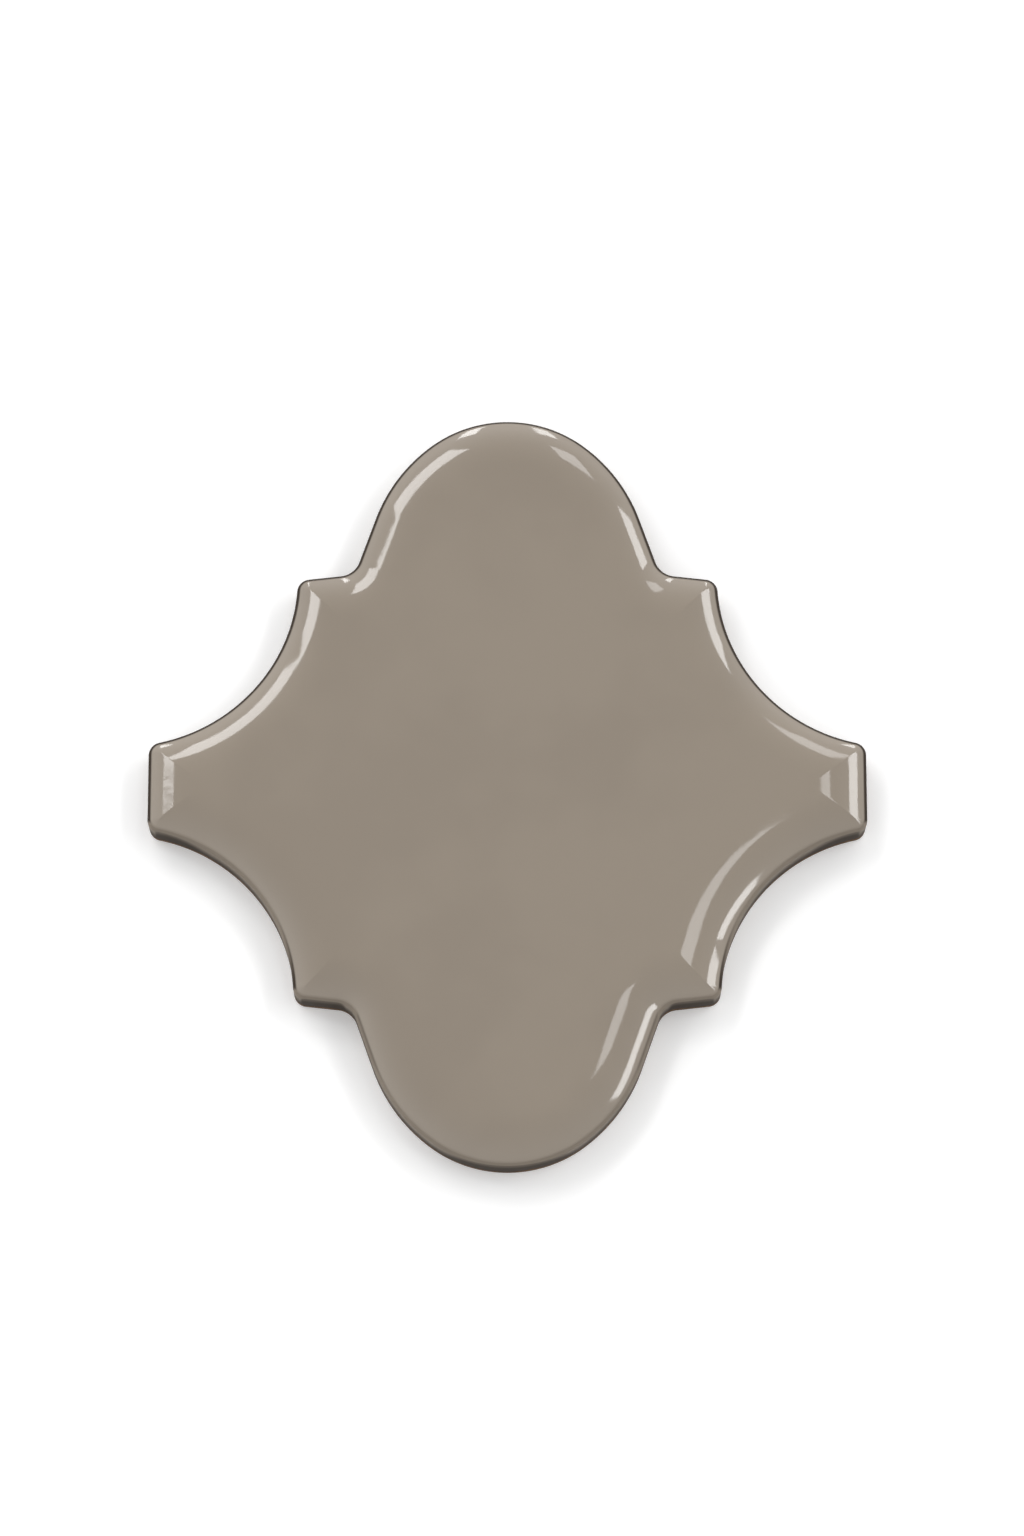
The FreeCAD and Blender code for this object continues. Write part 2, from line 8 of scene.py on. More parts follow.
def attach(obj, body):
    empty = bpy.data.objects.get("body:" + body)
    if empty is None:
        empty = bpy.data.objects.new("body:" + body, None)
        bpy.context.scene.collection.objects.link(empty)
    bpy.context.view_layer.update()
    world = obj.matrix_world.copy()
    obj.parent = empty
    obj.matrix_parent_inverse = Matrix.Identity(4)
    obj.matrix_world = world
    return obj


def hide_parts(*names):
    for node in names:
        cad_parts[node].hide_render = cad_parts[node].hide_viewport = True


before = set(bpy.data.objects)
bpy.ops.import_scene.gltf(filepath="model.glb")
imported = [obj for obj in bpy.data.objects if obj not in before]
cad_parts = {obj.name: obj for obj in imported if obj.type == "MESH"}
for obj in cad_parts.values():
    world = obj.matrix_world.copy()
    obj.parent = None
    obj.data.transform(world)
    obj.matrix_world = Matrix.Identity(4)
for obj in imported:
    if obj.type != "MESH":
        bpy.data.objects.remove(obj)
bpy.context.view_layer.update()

MM = 0.001

# The tile's sizes in millimetres, angles in degrees. It lies on its back, +Y towards one lobe.
TILE = {
    "width": 118.0,
    "height": 126.2,
    "end_height": 14.6,
    "bowl_radius": 28.5,
    "bowl_beyond_end": 4.3,
    "shoulder_length": 9.5,
    "shoulder_fall": 6.3,
    "lobe_rise": 27.7,
    "flank_length": 12.4,
    "tip_tightening": 1.6,
    "side_easing": 4.9,
    "notch_radius": 3.6,
    "corner_radius": 2.2,
    "cushion_width": 8.2,
}
SECTION = {
    "Face height": 8.4,
    "Cushion width": TILE["cushion_width"],
    "Cushion drop": 1.8,
    "Roll radius": 1.2,
    "Foot bevel": 0.5,
    "Key length": 56.0,
    "Key width": 3.0,
    "Key depth": 0.7,
    "Key spacing": 8.0,
}
COUNTS = {
    "Key count": 7,
    "Roll rows": 10,
    "Cushion rows": 26,
}
# Stations along the outline: how far apart in millimetres, and how many at a mitre, a corner and a notch.
STATION_STEP = 0.6
MITRE_STATIONS = 18
CORNER_STATIONS = 10
NOTCH_STATIONS = 12
KEY_RING_POINTS = 26

# Gaps in millimetres under which a crest, a reach, a point or an edge counts as none.
CREST_GAP = 0.005
REACH_GAP = 0.001
WELD_GAP = 0.002
EDGE_GAP = 0.0005
SHARP_ANGLE = 32.0


# The outline

def spread(first, last, count):
    """Evenly spread values from first to last, both included."""
    return [first + (last - first) * step / count for step in range(count + 1)]


def heading(angle):
    """The unit vector at an angle from +X."""
    return Vector((math.cos(angle), math.sin(angle)))


def arc_stations(centre, radius, first, last, way_in, reach):
    """Stations along an arc, without its ends; way_in is -1 where the tile is on the centre's side."""
    count = max(2, round(abs(last - first) * radius / STATION_STEP))
    return [
        (centre + heading(angle) * radius, heading(angle) * way_in, reach)
        for angle in spread(first, last, count)[1:-1]
    ]


def quarter_stations():
    """Stations from the middle of a flat end to the tip of a lobe: place, way in, reach of the band.

    The band reaches its full width except near the outer corners, where it ends on the mitre.
    """
    reach = TILE["cushion_width"]
    corner = TILE["corner_radius"]
    bowl = TILE["bowl_radius"]
    beyond = TILE["bowl_beyond_end"]
    half_width = TILE["width"] / 2
    half_height = TILE["height"] / 2
    bowl_centre = Vector((half_width + beyond, TILE["end_height"] / 2 + math.sqrt(bowl**2 - beyond**2)))

    fall = math.radians(TILE["shoulder_fall"])
    along = heading(-fall)
    off = heading(math.pi / 2 - fall)
    shoulder_y = half_height - TILE["lobe_rise"]
    shoulder_x = bowl_centre.x - math.sqrt(bowl**2 - (bowl_centre.y - shoulder_y) ** 2)
    shoulder = Vector((shoulder_x, shoulder_y))
    notch = shoulder - along * TILE["shoulder_length"]

    flank = TILE["flank_length"]
    rise = half_height - notch.y
    round_lobe = (notch.x**2 + rise**2 - flank**2) / (2 * rise)
    lean = math.pi / 2 - math.atan((rise - round_lobe) / notch.x) - math.atan(round_lobe / flank)
    upward = heading(math.pi / 2 + lean)
    flank_in = -heading(lean)
    notch_radius = TILE["notch_radius"]
    setback = notch_radius / math.tan((math.pi / 2 + lean + fall) / 2)
    notch_low = notch + along * setback
    notch_high = notch + upward * setback
    notch_centre = notch_low + off * notch_radius

    tip_radius = round_lobe - TILE["tip_tightening"]
    side_radius = round_lobe + TILE["side_easing"]
    tip_centre = Vector((0, half_height - tip_radius))
    tip_to_flank = (tip_centre - notch).dot(flank_in)
    join = lean + math.acos((side_radius - tip_to_flank) / (side_radius - tip_radius))
    side_centre = tip_centre - heading(join) * (side_radius - tip_radius)
    flank_high = side_centre - flank_in * side_radius

    def end_mitre(depth):
        drop = math.sqrt((bowl + depth) ** 2 - (beyond + depth) ** 2)
        return Vector((half_width - depth, bowl_centre.y - drop))

    def shoulder_mitre(depth):
        above = (shoulder - bowl_centre).dot(off) - depth
        return bowl_centre + off * above - along * math.sqrt((bowl + depth) ** 2 - above**2)

    def bowl_foot(mitre, depth):
        way_in = (mitre - bowl_centre).normalized()
        return bowl_centre + way_in * bowl, way_in, depth

    depths = spread(corner, reach, MITRE_STATIONS)
    stations = []
    full_end = end_mitre(reach).y
    for y in spread(0, full_end, 2)[:-1]:
        stations.append((Vector((half_width, y)), Vector((-1, 0)), reach))
    for depth in reversed(depths):
        stations.append((Vector((half_width, end_mitre(depth).y)), Vector((-1, 0)), depth))
    end_axis = end_mitre(corner)
    end_turn = math.acos((beyond + corner) / (bowl + corner))
    for angle in spread(0, end_turn, CORNER_STATIONS)[1:-1]:
        stations.append((end_axis + heading(angle) * corner, -heading(angle), corner))

    for depth in depths:
        stations.append(bowl_foot(end_mitre(depth), depth))
    first_in = end_mitre(reach) - bowl_centre
    last_in = shoulder_mitre(reach) - bowl_centre
    first = math.atan2(first_in.y, first_in.x) % (2 * math.pi)
    last = math.atan2(last_in.y, last_in.x) % (2 * math.pi)
    stations += arc_stations(bowl_centre, bowl, first, last, 1, reach)
    for depth in reversed(depths):
        stations.append(bowl_foot(shoulder_mitre(depth), depth))

    shoulder_axis = shoulder_mitre(corner)
    to_bowl = bowl_centre - shoulder_axis
    for angle in spread(math.atan2(to_bowl.y, to_bowl.x), math.pi / 2 - fall, CORNER_STATIONS)[1:-1]:
        stations.append((shoulder_axis + heading(angle) * corner, -heading(angle), corner))
    for depth in depths:
        stations.append((shoulder_mitre(depth) + off * depth, -off, depth))

    low = math.atan2(-off.y, -off.x)
    high = math.atan2(flank_in.y, flank_in.x)
    for angle in spread(low, high, NOTCH_STATIONS):
        stations.append((notch_centre + heading(angle) * notch_radius, heading(angle), reach))
    flank_count = max(2, round((flank_high - notch_high).length / STATION_STEP))
    for share in spread(0, 1, flank_count)[1:]:
        stations.append((notch_high.lerp(flank_high, share), flank_in, reach))
    stations += arc_stations(side_centre, side_radius, lean, join, -1, reach)
    stations.append((tip_centre + heading(join) * tip_radius, -heading(join), reach))
    stations += arc_stations(tip_centre, tip_radius, join, math.pi / 2, -1, reach)
    stations.append((Vector((0, half_height)), Vector((0, -1)), reach))
    return stations


def whole_outline():
    """The four quarters as one loop."""
    quarter = quarter_stations()

    def flipped(stations, side_x, side_y):
        flip = Vector((side_x, side_y))
        return [(place * flip, way_in * flip, reach) for place, way_in, reach in stations]

    upper = quarter + flipped(quarter[-2::-1], -1, 1)
    lower = flipped(upper[-2:0:-1], 1, -1)
    return upper + lower


def outline_loop():
    """The outline as a closed loop of edges that carries the way in and the reach of every station."""
    loop = whole_outline()
    count = len(loop)
    mesh = bpy.data.meshes.new("tile_outline")
    mesh.from_pydata(
        [(place.x * MM, place.y * MM, 0) for place, _, _ in loop],
        [(index, (index + 1) % count) for index in range(count)],
        [],
    )
    for name, kind in (("way_in", "FLOAT_VECTOR"), ("reach", "FLOAT"), ("on_face", "BOOLEAN")):
        mesh.attributes.new(name, kind, "POINT")
    way_in, reach, on_face = (mesh.attributes[name] for name in ("way_in", "reach", "on_face"))
    full = TILE["cushion_width"]
    last_crest = None
    for index, (place, inward, depth) in enumerate(loop):
        way_in.data[index].vector = (inward.x, inward.y, 0)
        reach.data[index].value = depth * MM
        crest = place + inward * depth
        is_new = last_crest is None or (crest - last_crest).length > CREST_GAP
        on_face.data[index].value = depth > full - REACH_GAP and is_new
        last_crest = crest
    return mesh


# Node helpers

def add_node(tree, kind, settings=None, inputs=None):
    """A node with its settings made and its inputs set or linked."""
    node = tree.nodes.new(kind)
    for name, value in (settings or {}).items():
        setattr(node, name, value)
    for key, value in (inputs or {}).items():
        if isinstance(value, bpy.types.NodeSocket):
            tree.links.new(value, node.inputs[key])
        else:
            node.inputs[key].default_value = value
    return node


def calc(tree, operation, *values):
    """The output of one Math node."""
    return add_node(tree, "ShaderNodeMath", {"operation": operation}, dict(enumerate(values))).outputs[0]


def named_value(tree, name, kind="FLOAT"):
    """An attribute of the geometry, by name."""
    node = add_node(tree, "GeometryNodeInputNamedAttribute", {"data_type": kind}, {"Name": name})
    return node.outputs["Attribute"]


# The tile as a rule: one section follows the whole outline

def tile_tree():
    """Bends a section along the outline, fills the face and the back, and repeats the keying grooves."""
    tree = bpy.data.node_groups.new("cushioned_tile", "GeometryNodeTree")
    face = tree.interface
    face.new_socket("Outline", in_out="INPUT", socket_type="NodeSocketGeometry")
    for name, value in SECTION.items():
        socket = face.new_socket(name, in_out="INPUT", socket_type="NodeSocketFloat")
        socket.subtype = "DISTANCE"
        socket.default_value = value * MM
    for name, value in COUNTS.items():
        socket = face.new_socket(name, in_out="INPUT", socket_type="NodeSocketInt")
        socket.default_value = value
    face.new_socket("Finish", in_out="INPUT", socket_type="NodeSocketMaterial")
    face.new_socket("Tile", in_out="OUTPUT", socket_type="NodeSocketGeometry")
    given = add_node(tree, "NodeGroupInput").outputs

    outline = add_node(tree, "GeometryNodeMeshToCurve", None, {"Mesh": given["Outline"]}).outputs["Curve"]
    band = section_band(tree, given, outline)
    flat = filled_face(tree, given, outline)
    back = keyed_back(tree, given, outline)

    joined = add_node(tree, "GeometryNodeJoinGeometry")
    for part in (back, flat, band):
        tree.links.new(part, joined.inputs["Geometry"])
    welded = add_node(tree, "GeometryNodeMergeByDistance", None,
                      {"Geometry": joined.outputs[0], "Distance": WELD_GAP * MM}).outputs[0]
    real = add_node(tree, "GeometryNodeRealizeInstances", None, {"Geometry": welded}).outputs[0]
    finished = add_node(tree, "GeometryNodeSetMaterial", None,
                        {"Geometry": real, "Material": given["Finish"]}).outputs[0]
    add_node(tree, "NodeGroupOutput", None, {"Tile": finished})
    return tree


def rows_along(tree, curve, rows):
    """A strip of that many rows along a curve, all rows still on the curve itself and numbered."""
    ladder = add_node(tree, "GeometryNodeMeshLine", {"mode": "OFFSET"},
                      {"Count": rows, "Offset": (0, 0, 0)}).outputs["Mesh"]
    rung = add_node(tree, "GeometryNodeMeshToCurve", None, {"Mesh": ladder}).outputs["Curve"]
    index = add_node(tree, "GeometryNodeInputIndex").outputs[0]
    numbered = add_node(tree, "GeometryNodeStoreNamedAttribute", {"data_type": "FLOAT", "domain": "POINT"},
                        {"Geometry": rung, "Name": "row", "Value": index}).outputs[0]
    return add_node(tree, "GeometryNodeCurveToMesh", None,
                    {"Curve": curve, "Profile Curve": numbered}).outputs["Mesh"]


def section_band(tree, given, outline):
    """The bevel, the wall, the roll and the cushion, row by row, up to the reach of each station."""
    width, drop = given["Cushion width"], given["Cushion drop"]
    top, roll, bevel = given["Face height"], given["Roll radius"], given["Foot bevel"]
    squares = calc(tree, "ADD", calc(tree, "POWER", width, 2.0), calc(tree, "POWER", drop, 2.0))
    bend = calc(tree, "DIVIDE", squares, calc(tree, "MULTIPLY", drop, 2.0))
    bend_z = calc(tree, "SUBTRACT", top, bend)
    roll_in = calc(tree, "SUBTRACT", width, roll)
    roll_arm = calc(tree, "POWER", calc(tree, "SUBTRACT", bend, roll), 2.0)
    roll_up = calc(tree, "SQRT", calc(tree, "SUBTRACT", roll_arm, calc(tree, "POWER", roll_in, 2.0)))
    roll_z = calc(tree, "ADD", bend_z, roll_up)
    steepest = calc(tree, "ARCTAN2", roll_in, roll_up)

    row = named_value(tree, "row")
    reach = named_value(tree, "reach")
    roll_rows, cushion_rows = given["Roll rows"], given["Cushion rows"]
    past_wall = calc(tree, "SUBTRACT", row, 2.0)
    past_roll = calc(tree, "SUBTRACT", past_wall, roll_rows)

    def share(rows_done, rows):
        return add_node(tree, "ShaderNodeMath", {"operation": "DIVIDE", "use_clamp": True},
                        {0: rows_done, 1: rows}).outputs[0]

    turned = calc(tree, "MULTIPLY", share(past_wall, roll_rows),
                  calc(tree, "SUBTRACT", math.pi / 2, steepest))
    roll_d = calc(tree, "SUBTRACT", roll, calc(tree, "MULTIPLY", roll, calc(tree, "COSINE", turned)))
    roll_h = calc(tree, "MULTIPLY_ADD", calc(tree, "SINE", turned), roll, roll_z)

    gentlest = calc(tree, "ARCSINE", calc(tree, "DIVIDE", calc(tree, "SUBTRACT", width, reach), bend))
    slope = calc(tree, "MULTIPLY_ADD", share(past_roll, cushion_rows),
                 calc(tree, "SUBTRACT", gentlest, steepest), steepest)
    cushion_d = calc(tree, "SUBTRACT", width, calc(tree, "MULTIPLY", bend, calc(tree, "SINE", slope)))
    cushion_h = calc(tree, "MULTIPLY_ADD", bend, calc(tree, "COSINE", slope), bend_z)

    bevel_d = calc(tree, "MULTIPLY", bevel, calc(tree, "LESS_THAN", row, 0.5))
    bevel_h = calc(tree, "MULTIPLY", bevel, calc(tree, "MINIMUM", row, 1.0))
    on_cushion = calc(tree, "GREATER_THAN", past_roll, 0.5)
    on_bevel = calc(tree, "LESS_THAN", row, 1.5)

    def chosen(bevel_value, roll_value, cushion_value):
        upper = add_node(tree, "GeometryNodeSwitch", {"input_type": "FLOAT"},
                         {"Switch": on_cushion, "False": roll_value, "True": cushion_value}).outputs[0]
        return add_node(tree, "GeometryNodeSwitch", {"input_type": "FLOAT"},
                        {"Switch": on_bevel, "False": upper, "True": bevel_value}).outputs[0]

    inset = chosen(bevel_d, roll_d, cushion_d)
    height = chosen(bevel_h, roll_h, cushion_h)
    rows = calc(tree, "ADD", calc(tree, "ADD", roll_rows, cushion_rows), 3.0)
    strip = rows_along(tree, outline, rows)
    return moved_in(tree, strip, inset, height)


def moved_in(tree, geometry, inset, height):
    """Moves every point in from the outline by an inset, and up to a height."""
    way_in = named_value(tree, "way_in", "FLOAT_VECTOR")
    sideways = add_node(tree, "ShaderNodeVectorMath", {"operation": "SCALE"},
                        {0: way_in, "Scale": inset}).outputs[0]
    upward = add_node(tree, "ShaderNodeCombineXYZ", None, {"Z": height}).outputs[0]
    offset = add_node(tree, "ShaderNodeVectorMath", {"operation": "ADD"}, {0: sideways, 1: upward}).outputs[0]
    return add_node(tree, "GeometryNodeSetPosition", None,
                    {"Geometry": geometry, "Offset": offset}).outputs[0]


def raised(tree, geometry, height):
    """The geometry, moved up."""
    upward = add_node(tree, "ShaderNodeCombineXYZ", None, {"Z": height}).outputs[0]
    return add_node(tree, "GeometryNodeSetPosition", None,
                    {"Geometry": geometry, "Offset": upward}).outputs[0]


def filled_face(tree, given, outline):
    """The flat of the face, inside the cushioned band."""
    on_face = named_value(tree, "on_face", "BOOLEAN")
    off_face = add_node(tree, "FunctionNodeBooleanMath", {"operation": "NOT"}, {0: on_face}).outputs[0]
    kept = add_node(tree, "GeometryNodeDeleteGeometry", {"domain": "POINT"},
                    {"Geometry": outline, "Selection": off_face}).outputs[0]
    crest = moved_in(tree, kept, given["Cushion width"], 0.0)
    filled = add_node(tree, "GeometryNodeFillCurve", {"mode": "TRIANGLES"}, {"Curve": crest}).outputs[0]
    return raised(tree, filled, given["Face height"])


def keyed_back(tree, given, outline):
    """The back with its row of round-ended keying grooves."""
    edge = moved_in(tree, outline, given["Foot bevel"], 0.0)
    end_radius = calc(tree, "DIVIDE", given["Key width"], 2.0)
    ring = add_node(tree, "GeometryNodeCurvePrimitiveCircle", {"mode": "RADIUS"},
                    {"Resolution": KEY_RING_POINTS, "Radius": end_radius}).outputs["Curve"]
    place = add_node(tree, "GeometryNodeInputPosition").outputs[0]
    sideways = add_node(tree, "ShaderNodeSeparateXYZ", None, {0: place}).outputs["X"]
    stretch = calc(tree, "SUBTRACT", calc(tree, "DIVIDE", given["Key length"], 2.0), end_radius)
    pulled = add_node(tree, "ShaderNodeCombineXYZ", None,
                      {"X": calc(tree, "MULTIPLY", calc(tree, "SIGN", sideways), stretch)}).outputs[0]
    groove = add_node(tree, "GeometryNodeSetPosition", None, {"Geometry": ring, "Offset": pulled}).outputs[0]

    step = add_node(tree, "ShaderNodeCombineXYZ", None, {"Y": given["Key spacing"]}).outputs[0]
    gaps = calc(tree, "SUBTRACT", given["Key count"], 1.0)
    first_y = calc(tree, "MULTIPLY", calc(tree, "MULTIPLY", gaps, given["Key spacing"]), -0.5)
    first = add_node(tree, "ShaderNodeCombineXYZ", None, {"Y": first_y}).outputs[0]
    rows = add_node(tree, "GeometryNodeMeshLine", {"mode": "OFFSET"},
                    {"Count": given["Key count"], "Start Location": first, "Offset": step}).outputs["Mesh"]
    repeated = add_node(tree, "GeometryNodeInstanceOnPoints", None,
                        {"Points": rows, "Instance": groove}).outputs[0]
    grooves = add_node(tree, "GeometryNodeRealizeInstances", None, {"Geometry": repeated}).outputs[0]

    rims = add_node(tree, "GeometryNodeJoinGeometry")
    tree.links.new(edge, rims.inputs["Geometry"])
    tree.links.new(grooves, rims.inputs["Geometry"])
    land = add_node(tree, "GeometryNodeFillCurve", {"mode": "TRIANGLES"},
                    {"Curve": rims.outputs[0]}).outputs[0]
    floors = add_node(tree, "GeometryNodeFillCurve", {"mode": "TRIANGLES"}, {"Curve": grooves}).outputs[0]
    floors = raised(tree, floors, given["Key depth"])
    walls = rows_along(tree, grooves, 2)
    wall_height = calc(tree, "MULTIPLY", named_value(tree, "row"), given["Key depth"])
    walls = raised(tree, walls, wall_height)

    joined = add_node(tree, "GeometryNodeJoinGeometry")
    for part in (land, floors, walls):
        tree.links.new(part, joined.inputs["Geometry"])
    return joined.outputs[0]


def make_tile(finish):
    """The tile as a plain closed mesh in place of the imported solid."""
    tree = tile_tree()
    piece = bpy.data.objects.new("glazed_tile", outline_loop())
    bpy.context.scene.collection.objects.link(piece)
    rule = piece.modifiers.new("section", "NODES")
    rule.node_group = tree
    sockets = {item.name: item.identifier for item in tree.interface.items_tree if item.in_out == "INPUT"}
    for name, value in SECTION.items():
        rule[sockets[name]] = value * MM
    for name, value in COUNTS.items():
        rule[sockets[name]] = value
    rule[sockets["Finish"]] = finish

    shaped = piece.evaluated_get(bpy.context.evaluated_depsgraph_get())
    mesh = bpy.data.meshes.new_from_object(shaped)
    piece.modifiers.remove(rule)
    piece.data = mesh
    mesh.name = "glazed_tile"

    shell = bmesh.new()
    shell.from_mesh(mesh)
    bmesh.ops.dissolve_degenerate(shell, dist=EDGE_GAP * MM, edges=shell.edges)
    bmesh.ops.recalc_face_normals(shell, faces=shell.faces)
    for surface in shell.faces:
        surface.smooth = True
    shell.to_mesh(mesh)
    open_edges = sum(1 for edge in shell.edges if len(edge.link_faces) != 2)
    print("tile mesh:", len(shell.verts), "points,", len(shell.faces), "faces,", open_edges, "open edges,",
          "volume", round(shell.calc_volume(signed=True) * 1e9, 1))
    shell.free()
    mesh.set_sharp_from_angle(angle=math.radians(SHARP_ANGLE))
    return piece


# Finishes

# Colours from rim to foot, or from dark to pale.
TAUPE = ((0.277, 0.236, 0.191, 1), (0.293, 0.250, 0.202, 1))
SPECK = (0.262, 0.223, 0.181, 1)
# Painted shade: dark brown over the rim and down the wall, from the rim to the foot.
PAINTED_RIM_SHADE = ((0.042, 0.031, 0.023, 1), (0.060, 0.044, 0.031, 1))
# Painted shadow on the side facing the lower lobe: near the glaze colour at the rim, dark at the foot.
PAINTED_FOOT_SHADOW = ((0.245, 0.208, 0.168, 1), (0.045, 0.033, 0.024, 1))
FIRED_BODY = ((0.125, 0.079, 0.050, 1), (0.180, 0.117, 0.075, 1))

# Heights in millimetres over which the glaze starts, painted shade darkens the rim, and a painted shadow
# darkens down the wall.
GLAZE_START = (1.45, 1.75)
GLAZE_WAVER = 0.35
SHADED_RIM_HEIGHTS = (6.92, 6.72)
RIM_SHADE_FADE = (4.2, 1.0)
FOOT_SHADOW_FADE = (6.4, 1.6)
FOOT_SHADOW_SAG = 2.4

# How the wall faces the lower lobe, as the Y of its normal: where a painted shadow darkens the wall towards
# the foot in place of the painted rim shade, and where that painted shadow reaches lowest.
FOOT_SHADOW_SIDE = (-0.05, -0.35)
SHADOW_SAG_SIDE = (-0.85, -0.97)

# Noise scales, per metre.
NOISE = {
    "waver": 170.0,
    "clouds": 38.0,
    "specks": 2600.0,
    "body": 1500.0,
    "gloss": 240.0,
    "orange_peel": 420.0,
    "sway": 75.0,
    "body_relief": 2200.0,
}
# Relief in millimetres.
RELIEF = {"orange_peel": 0.004, "sway": 0.035, "body": 0.06}
GLAZE_ROUGHNESS = (0.045, 0.075)
RIM_ROUGHNESS = 0.6
BODY_ROUGHNESS = 0.86
GLAZE_SHINE = 0.5
RIM_SHINE = 0.06
GLAZE_INDEX = 1.6


def glaze_finish():
    """Glossy taupe glaze over a brown body, with painted shade over the rim and down the wall; the glaze
    stops short of the back.
    """
    material = bpy.data.materials.new("taupe_glaze")
    material.use_nodes = True
    tree = material.node_tree
    tree.nodes.clear()
    place = add_node(tree, "ShaderNodeTexCoord").outputs["Object"]

    def noise(name, detail=2.0, roughness=0.5):
        return add_node(tree, "ShaderNodeTexNoise", None, {
            "Vector": place, "Scale": NOISE[name], "Detail": detail, "Roughness": roughness}).outputs[0]

    def ramp(value, low, high, to_low=0.0, to_high=1.0):
        return add_node(tree, "ShaderNodeMapRange", {"interpolation_type": "SMOOTHSTEP"},
                        {"Value": value, "From Min": low, "From Max": high,
                         "To Min": to_low, "To Max": to_high}).outputs[0]

    def height_ramp(value, heights):
        return ramp(value, heights[0] * MM, heights[1] * MM)

    def blend(share, first, second):
        return add_node(tree, "ShaderNodeMix", {"data_type": "RGBA"},
                        {0: share, 6: first, 7: second}).outputs[2]

    def between(share, first, second):
        return add_node(tree, "ShaderNodeMix", {"data_type": "FLOAT"},
                        {0: share, 2: first, 3: second}).outputs[0]

    up = add_node(tree, "ShaderNodeSeparateXYZ", None, {0: place}).outputs["Z"]

    # The glaze starts at a wavering line above the foot.
    waver = ramp(noise("waver", 3.0), 0.3, 0.7, -GLAZE_WAVER * MM, GLAZE_WAVER * MM)
    glazed = height_ramp(calc(tree, "ADD", up, waver), GLAZE_START)

    clouds = ramp(noise("clouds", 3.0, 0.55), 0.36, 0.64)
    specks = ramp(noise("specks"), 0.66, 0.74, 0.0, 0.35)
    colour = blend(specks, blend(clouds, *TAUPE), SPECK)

    # Painted shade: over the rim and down the wall the colour goes dark brown. On the side facing the lower
    # lobe, a painted shadow replaces it, keeping the rim near the glaze colour and darkening only towards the
    # foot.
    outward = add_node(tree, "ShaderNodeTexCoord").outputs["Normal"]
    facing = add_node(tree, "ShaderNodeSeparateXYZ", None, {0: outward}).outputs["Y"]
    shadow_side = ramp(facing, *FOOT_SHADOW_SIDE)
    shadow_height = calc(tree, "SUBTRACT", up, ramp(facing, *SHADOW_SAG_SIDE, 0.0, FOOT_SHADOW_SAG * MM))
    rim_shade = blend(height_ramp(up, RIM_SHADE_FADE), *PAINTED_RIM_SHADE)
    foot_shadow = blend(height_ramp(shadow_height, FOOT_SHADOW_FADE), *PAINTED_FOOT_SHADOW)
    shaded_matte_rim = height_ramp(up, SHADED_RIM_HEIGHTS)
    colour = blend(shaded_matte_rim, colour, blend(shadow_side, rim_shade, foot_shadow))

    grain = ramp(noise("body", 4.0, 0.65), 0.35, 0.65)
    colour = blend(glazed, blend(grain, *FIRED_BODY), colour)

    gloss = ramp(noise("gloss"), 0.3, 0.7, *GLAZE_ROUGHNESS)
    roughness = between(glazed, BODY_ROUGHNESS, between(shaded_matte_rim, gloss, RIM_ROUGHNESS))
    shine = between(shaded_matte_rim, GLAZE_SHINE, RIM_SHINE)

    orange_peel = calc(tree, "MULTIPLY", noise("orange_peel"), RELIEF["orange_peel"])
    sway = calc(tree, "MULTIPLY", noise("sway"), RELIEF["sway"])
    glaze_relief = calc(tree, "ADD", orange_peel, sway)
    body_relief = calc(tree, "MULTIPLY", noise("body_relief", 4.0, 0.7), RELIEF["body"])
    relief = between(glazed, body_relief, glaze_relief)
    bump = add_node(tree, "ShaderNodeBump", None,
                    {"Strength": 1.0, "Distance": MM, "Height": relief}).outputs[0]

    shader = add_node(tree, "ShaderNodeBsdfPrincipled", None, {
        "Base Color": colour, "Roughness": roughness, "Normal": bump, "IOR": GLAZE_INDEX,
        "Specular IOR Level": shine})
    output = add_node(tree, "ShaderNodeOutputMaterial")
    tree.links.new(shader.outputs[0], output.inputs["Surface"])
    return material


# Floor, light and camera

# Half the floor's side in metres, how white it is, and how much it is lifted towards white for the camera.
FLOOR_SIZE = 1.5
FLOOR_WHITE = 0.95
FLOOR_LIFT = 0.17


def make_floor():
    """A plain white floor that keeps the shadow of the tile and is clear from below."""
    size = FLOOR_SIZE
    mesh = bpy.data.meshes.new("floor")
    corners = [(-size, -size, 0), (size, -size, 0), (size, size, 0), (-size, size, 0)]
    mesh.from_pydata(corners, [], [(0, 1, 2, 3)])
    floor = bpy.data.objects.new("floor", mesh)
    bpy.context.scene.collection.objects.link(floor)

    material = bpy.data.materials.new("white_floor")
    material.use_nodes = True
    tree = material.node_tree
    tree.nodes.clear()
    paint = add_node(tree, "ShaderNodeBsdfDiffuse", None,
                     {"Color": (FLOOR_WHITE, FLOOR_WHITE, FLOOR_WHITE, 1)}).outputs[0]
    path = add_node(tree, "ShaderNodeLightPath").outputs
    seen = calc(tree, "MAXIMUM", path["Is Camera Ray"], path["Is Glossy Ray"])
    seen = calc(tree, "MAXIMUM", seen, path["Is Transmission Ray"])
    lift = calc(tree, "MULTIPLY", seen, FLOOR_LIFT)
    glow = add_node(tree, "ShaderNodeEmission", None, {"Color": (1, 1, 1, 1), "Strength": lift}).outputs[0]
    white = add_node(tree, "ShaderNodeAddShader", None, {0: paint, 1: glow}).outputs[0]
    clear = add_node(tree, "ShaderNodeBsdfTransparent").outputs[0]
    below = add_node(tree, "ShaderNodeNewGeometry").outputs["Backfacing"]
    surface = add_node(tree, "ShaderNodeMixShader", None, {0: below, 1: white, 2: clear}).outputs[0]
    output = add_node(tree, "ShaderNodeOutputMaterial")
    tree.links.new(surface, output.inputs["Surface"])
    mesh.materials.append(material)


